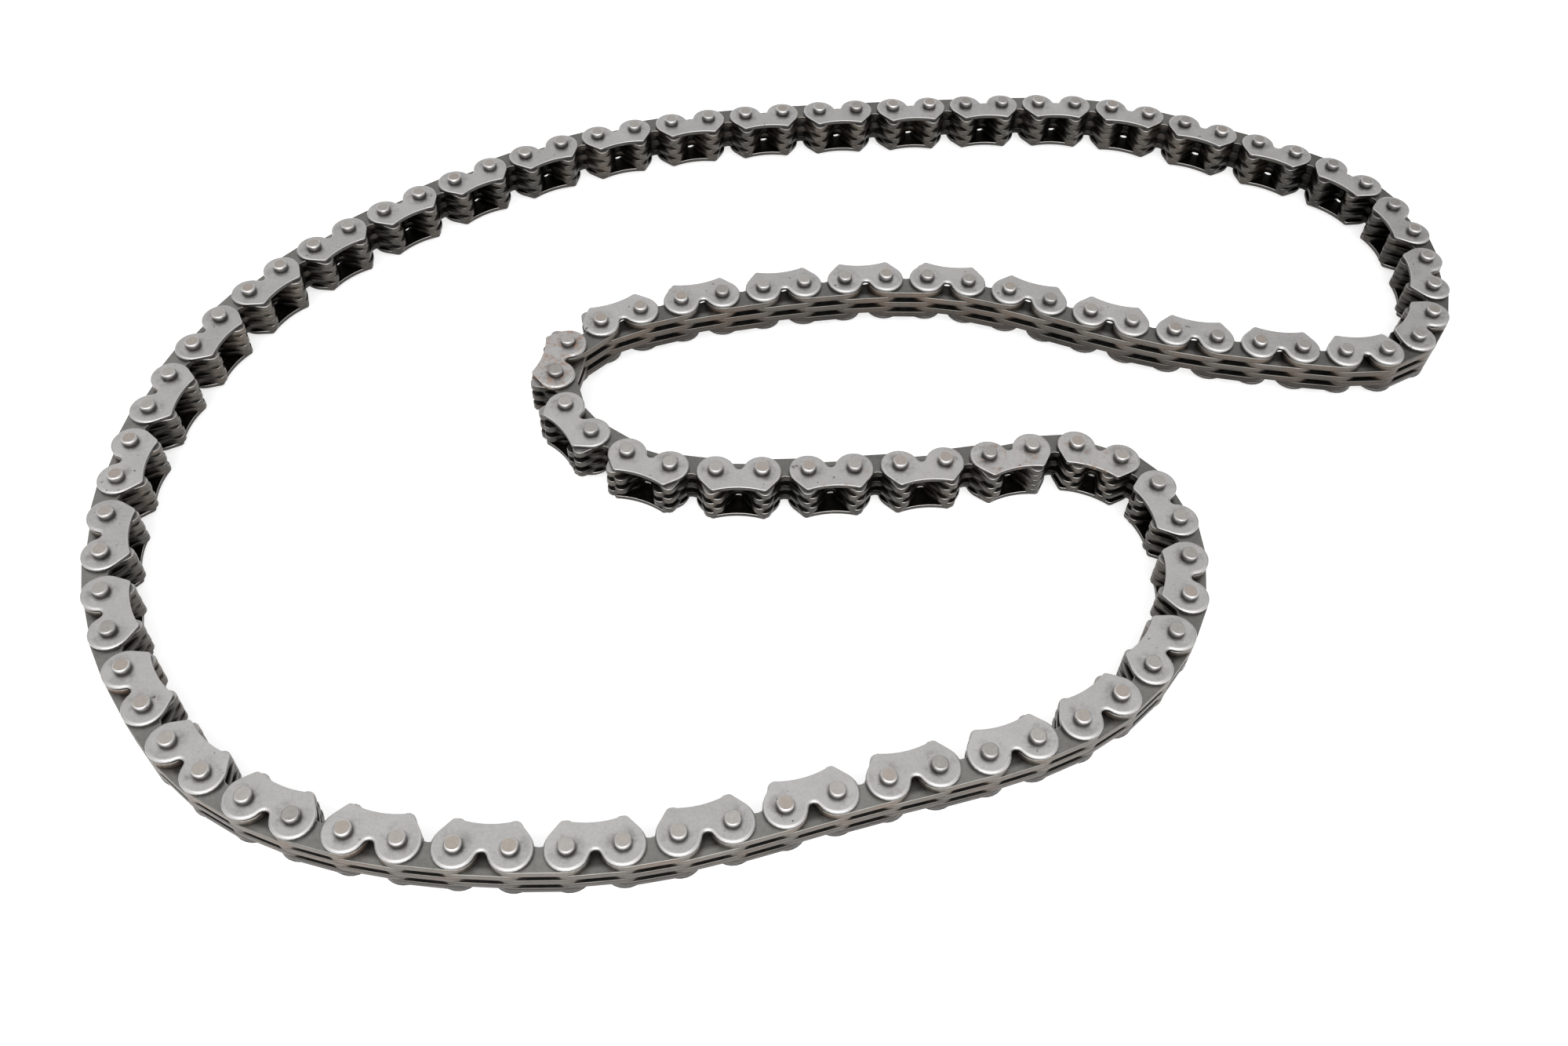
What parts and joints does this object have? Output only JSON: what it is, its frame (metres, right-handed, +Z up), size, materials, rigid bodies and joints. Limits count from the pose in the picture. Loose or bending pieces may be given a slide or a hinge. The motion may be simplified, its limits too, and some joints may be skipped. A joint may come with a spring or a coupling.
{
  "type": "cam chain",
  "caption": "Endless inverted-tooth timing chain: rows of toothed steel link plates on rivet pins between guide plates, lying slack on its side in a folded loop.",
  "frame": {"origin": "under the middle of the loop's box, on the surface that the lower pin ends rest on", "axes": "+Z up along the pins, +X along the loop's length, +Y across it; the teeth point into the loop"},
  "size_m": [0.194, 0.1494, 0.0082],
  "materials": {
    "guide_steel": "tumbled satin steel with bright rounded rims and spots of rust",
    "toothed_steel": "darker stamped steel, oily brown-grey on the edges",
    "pin_steel": "riveted steel ends, flat on top with bright rims"
  },
  "bodies": {
    "segment_01": {"guide_plates_01": "guide_steel", "toothed_plates_01": "toothed_steel", "rivet_pins_01": "pin_steel"},
    "segment_02": {"guide_plates_02": "guide_steel", "toothed_plates_02": "toothed_steel", "rivet_pins_02": "pin_steel"},
    "segment_03": {"guide_plates_03": "guide_steel", "toothed_plates_03": "toothed_steel", "rivet_pins_03": "pin_steel"},
    "segment_04": {"guide_plates_04": "guide_steel", "toothed_plates_04": "toothed_steel", "rivet_pins_04": "pin_steel"},
    "segment_05": {"guide_plates_05": "guide_steel", "toothed_plates_05": "toothed_steel", "rivet_pins_05": "pin_steel"},
    "segment_06": {"guide_plates_06": "guide_steel", "toothed_plates_06": "toothed_steel", "rivet_pins_06": "pin_steel"},
    "segment_07": {"guide_plates_07": "guide_steel", "toothed_plates_07": "toothed_steel", "rivet_pins_07": "pin_steel"},
    "segment_08": {"guide_plates_08": "guide_steel", "toothed_plates_08": "toothed_steel", "rivet_pins_08": "pin_steel"},
    "segment_09": {"guide_plates_09": "guide_steel", "toothed_plates_09": "toothed_steel", "rivet_pins_09": "pin_steel"},
    "segment_10": {"guide_plates_10": "guide_steel", "toothed_plates_10": "toothed_steel", "rivet_pins_10": "pin_steel"},
    "segment_11": {"guide_plates_11": "guide_steel", "toothed_plates_11": "toothed_steel", "rivet_pins_11": "pin_steel"},
    "segment_12": {"guide_plates_12": "guide_steel", "toothed_plates_12": "toothed_steel", "rivet_pins_12": "pin_steel"},
    "segment_13": {"guide_plates_13": "guide_steel", "toothed_plates_13": "toothed_steel", "rivet_pins_13": "pin_steel"},
    "segment_14": {"guide_plates_14": "guide_steel", "toothed_plates_14": "toothed_steel", "rivet_pins_14": "pin_steel"},
    "segment_15": {"guide_plates_15": "guide_steel", "toothed_plates_15": "toothed_steel", "rivet_pins_15": "pin_steel"},
    "segment_16": {"guide_plates_16": "guide_steel", "toothed_plates_16": "toothed_steel", "rivet_pins_16": "pin_steel"},
    "segment_17": {"guide_plates_17": "guide_steel", "toothed_plates_17": "toothed_steel", "rivet_pins_17": "pin_steel"},
    "segment_18": {"guide_plates_18": "guide_steel", "toothed_plates_18": "toothed_steel", "rivet_pins_18": "pin_steel"},
    "segment_19": {"guide_plates_19": "guide_steel", "toothed_plates_19": "toothed_steel", "rivet_pins_19": "pin_steel"},
    "segment_20": {"guide_plates_20": "guide_steel", "toothed_plates_20": "toothed_steel", "rivet_pins_20": "pin_steel"}
  },
  "joints": [
    {"name": "pivot_01_02", "type": "hinge", "parent": "segment_01", "child": "segment_02", "pos_m": [-0.05552, 0.04688, 0.00411], "axis": [0, 0, 1], "range_deg": [-21.18, 21.18]},
    {"name": "pivot_02_03", "type": "hinge", "parent": "segment_02", "child": "segment_03", "pos_m": [-0.08286, 0.02057, 0.00411], "axis": [0, 0, 1], "range_deg": [-16.78, 16.78]},
    {"name": "pivot_03_04", "type": "hinge", "parent": "segment_03", "child": "segment_04", "pos_m": [-0.09434, -0.01522, 0.00411], "axis": [0, 0, 1], "range_deg": [-10.73, 10.73]},
    {"name": "pivot_04_05", "type": "hinge", "parent": "segment_04", "child": "segment_05", "pos_m": [-0.08394, -0.05115, 0.00411], "axis": [0, 0, 1], "range_deg": [-10.8, 10.8]},
    {"name": "pivot_05_06", "type": "hinge", "parent": "segment_05", "child": "segment_06", "pos_m": [-0.05269, -0.07089, 0.00411], "axis": [0, 0, 1], "range_deg": [-17.26, 17.26]},
    {"name": "fold_left", "type": "hinge", "parent": "segment_06", "child": "segment_07", "pos_m": [-0.02736, -0.07156, 0.00411], "axis": [0, 0, 1], "range_deg": [-35, 35]},
    {"name": "pivot_07_08", "type": "hinge", "parent": "segment_07", "child": "segment_08", "pos_m": [0.00901, -0.06059, 0.00411], "axis": [0, 0, 1], "range_deg": [-13.31, 13.31]},
    {"name": "pivot_08_09", "type": "hinge", "parent": "segment_08", "child": "segment_09", "pos_m": [0.04206, -0.04283, 0.00411], "axis": [0, 0, 1], "range_deg": [-19.86, 19.86]},
    {"name": "pivot_09_10", "type": "hinge", "parent": "segment_09", "child": "segment_10", "pos_m": [0.04154, -0.00874, 0.00411], "axis": [0, 0, 1], "range_deg": [-33.33, 33.33]},
    {"name": "pivot_10_11", "type": "hinge", "parent": "segment_10", "child": "segment_11", "pos_m": [0.00446, -0.01298, 0.00411], "axis": [0, 0, 1], "range_deg": [-13.46, 13.46]},
    {"name": "pivot_11_12", "type": "hinge", "parent": "segment_11", "child": "segment_12", "pos_m": [-0.02083, -0.01432, 0.00411], "axis": [0, 0, 1], "range_deg": [-3.42, 4.78]},
    {"name": "pivot_12_13", "type": "hinge", "parent": "segment_12", "child": "segment_13", "pos_m": [-0.0334, 0.01275, 0.00411], "axis": [0, 0, 1], "range_deg": [-6.63, 4.74]},
    {"name": "pivot_13_14", "type": "hinge", "parent": "segment_13", "child": "segment_14", "pos_m": [0.00256, 0.02472, 0.00411], "axis": [0, 0, 1], "range_deg": [-19.84, 27.77]},
    {"name": "pivot_14_15", "type": "hinge", "parent": "segment_14", "child": "segment_15", "pos_m": [0.03983, 0.02042, 0.00411], "axis": [0, 0, 1], "range_deg": [-4.43, 6.2]},
    {"name": "pivot_15_16", "type": "hinge", "parent": "segment_15", "child": "segment_16", "pos_m": [0.07737, 0.01467, 0.00411], "axis": [0, 0, 1], "range_deg": [-27.8, 19.86]},
    {"name": "pivot_16_17", "type": "hinge", "parent": "segment_16", "child": "segment_17", "pos_m": [0.09398, 0.03027, 0.00411], "axis": [0, 0, 1], "range_deg": [-7.37, 5.27]},
    {"name": "fold_right", "type": "hinge", "parent": "segment_17", "child": "segment_18", "pos_m": [0.07799, 0.06147, 0.00411], "axis": [0, 0, 1], "range_deg": [-25, 35]},
    {"name": "pivot_18_19", "type": "hinge", "parent": "segment_18", "child": "segment_19", "pos_m": [0.0416, 0.07204, 0.00411], "axis": [0, 0, 1], "range_deg": [-5.42, 3.88]},
    {"name": "pivot_19_20", "type": "hinge", "parent": "segment_19", "child": "segment_20", "pos_m": [0.0038, 0.06748, 0.00411], "axis": [0, 0, 1], "range_deg": [-26.53, 18.95]}
  ],
  "couplings": [
    {"joint": "pivot_01_02", "follows": "fold_left", "ratio": -0.60487},
    {"joint": "pivot_02_03", "follows": "fold_left", "ratio": 0.4794},
    {"joint": "pivot_03_04", "follows": "fold_left", "ratio": 0.30643},
    {"joint": "pivot_04_05", "follows": "fold_left", "ratio": -0.3083},
    {"joint": "pivot_05_06", "follows": "fold_left", "ratio": -0.4931},
    {"joint": "pivot_07_08", "follows": "fold_left", "ratio": -0.38007},
    {"joint": "pivot_08_09", "follows": "fold_left", "ratio": -0.56724},
    {"joint": "pivot_09_10", "follows": "fold_left", "ratio": 0.95227},
    {"joint": "pivot_10_11", "follows": "fold_left", "ratio": -0.38452},
    {"joint": "pivot_11_12", "follows": "fold_right", "ratio": 0.13648},
    {"joint": "pivot_12_13", "follows": "fold_right", "ratio": -0.18941},
    {"joint": "pivot_13_14", "follows": "fold_right", "ratio": 0.79337},
    {"joint": "pivot_14_15", "follows": "fold_right", "ratio": 0.17704},
    {"joint": "pivot_15_16", "follows": "fold_right", "ratio": -0.79418},
    {"joint": "pivot_16_17", "follows": "fold_right", "ratio": -0.21052},
    {"joint": "pivot_18_19", "follows": "fold_right", "ratio": -0.15483},
    {"joint": "pivot_19_20", "follows": "fold_right", "ratio": -0.75796}
  ]
}
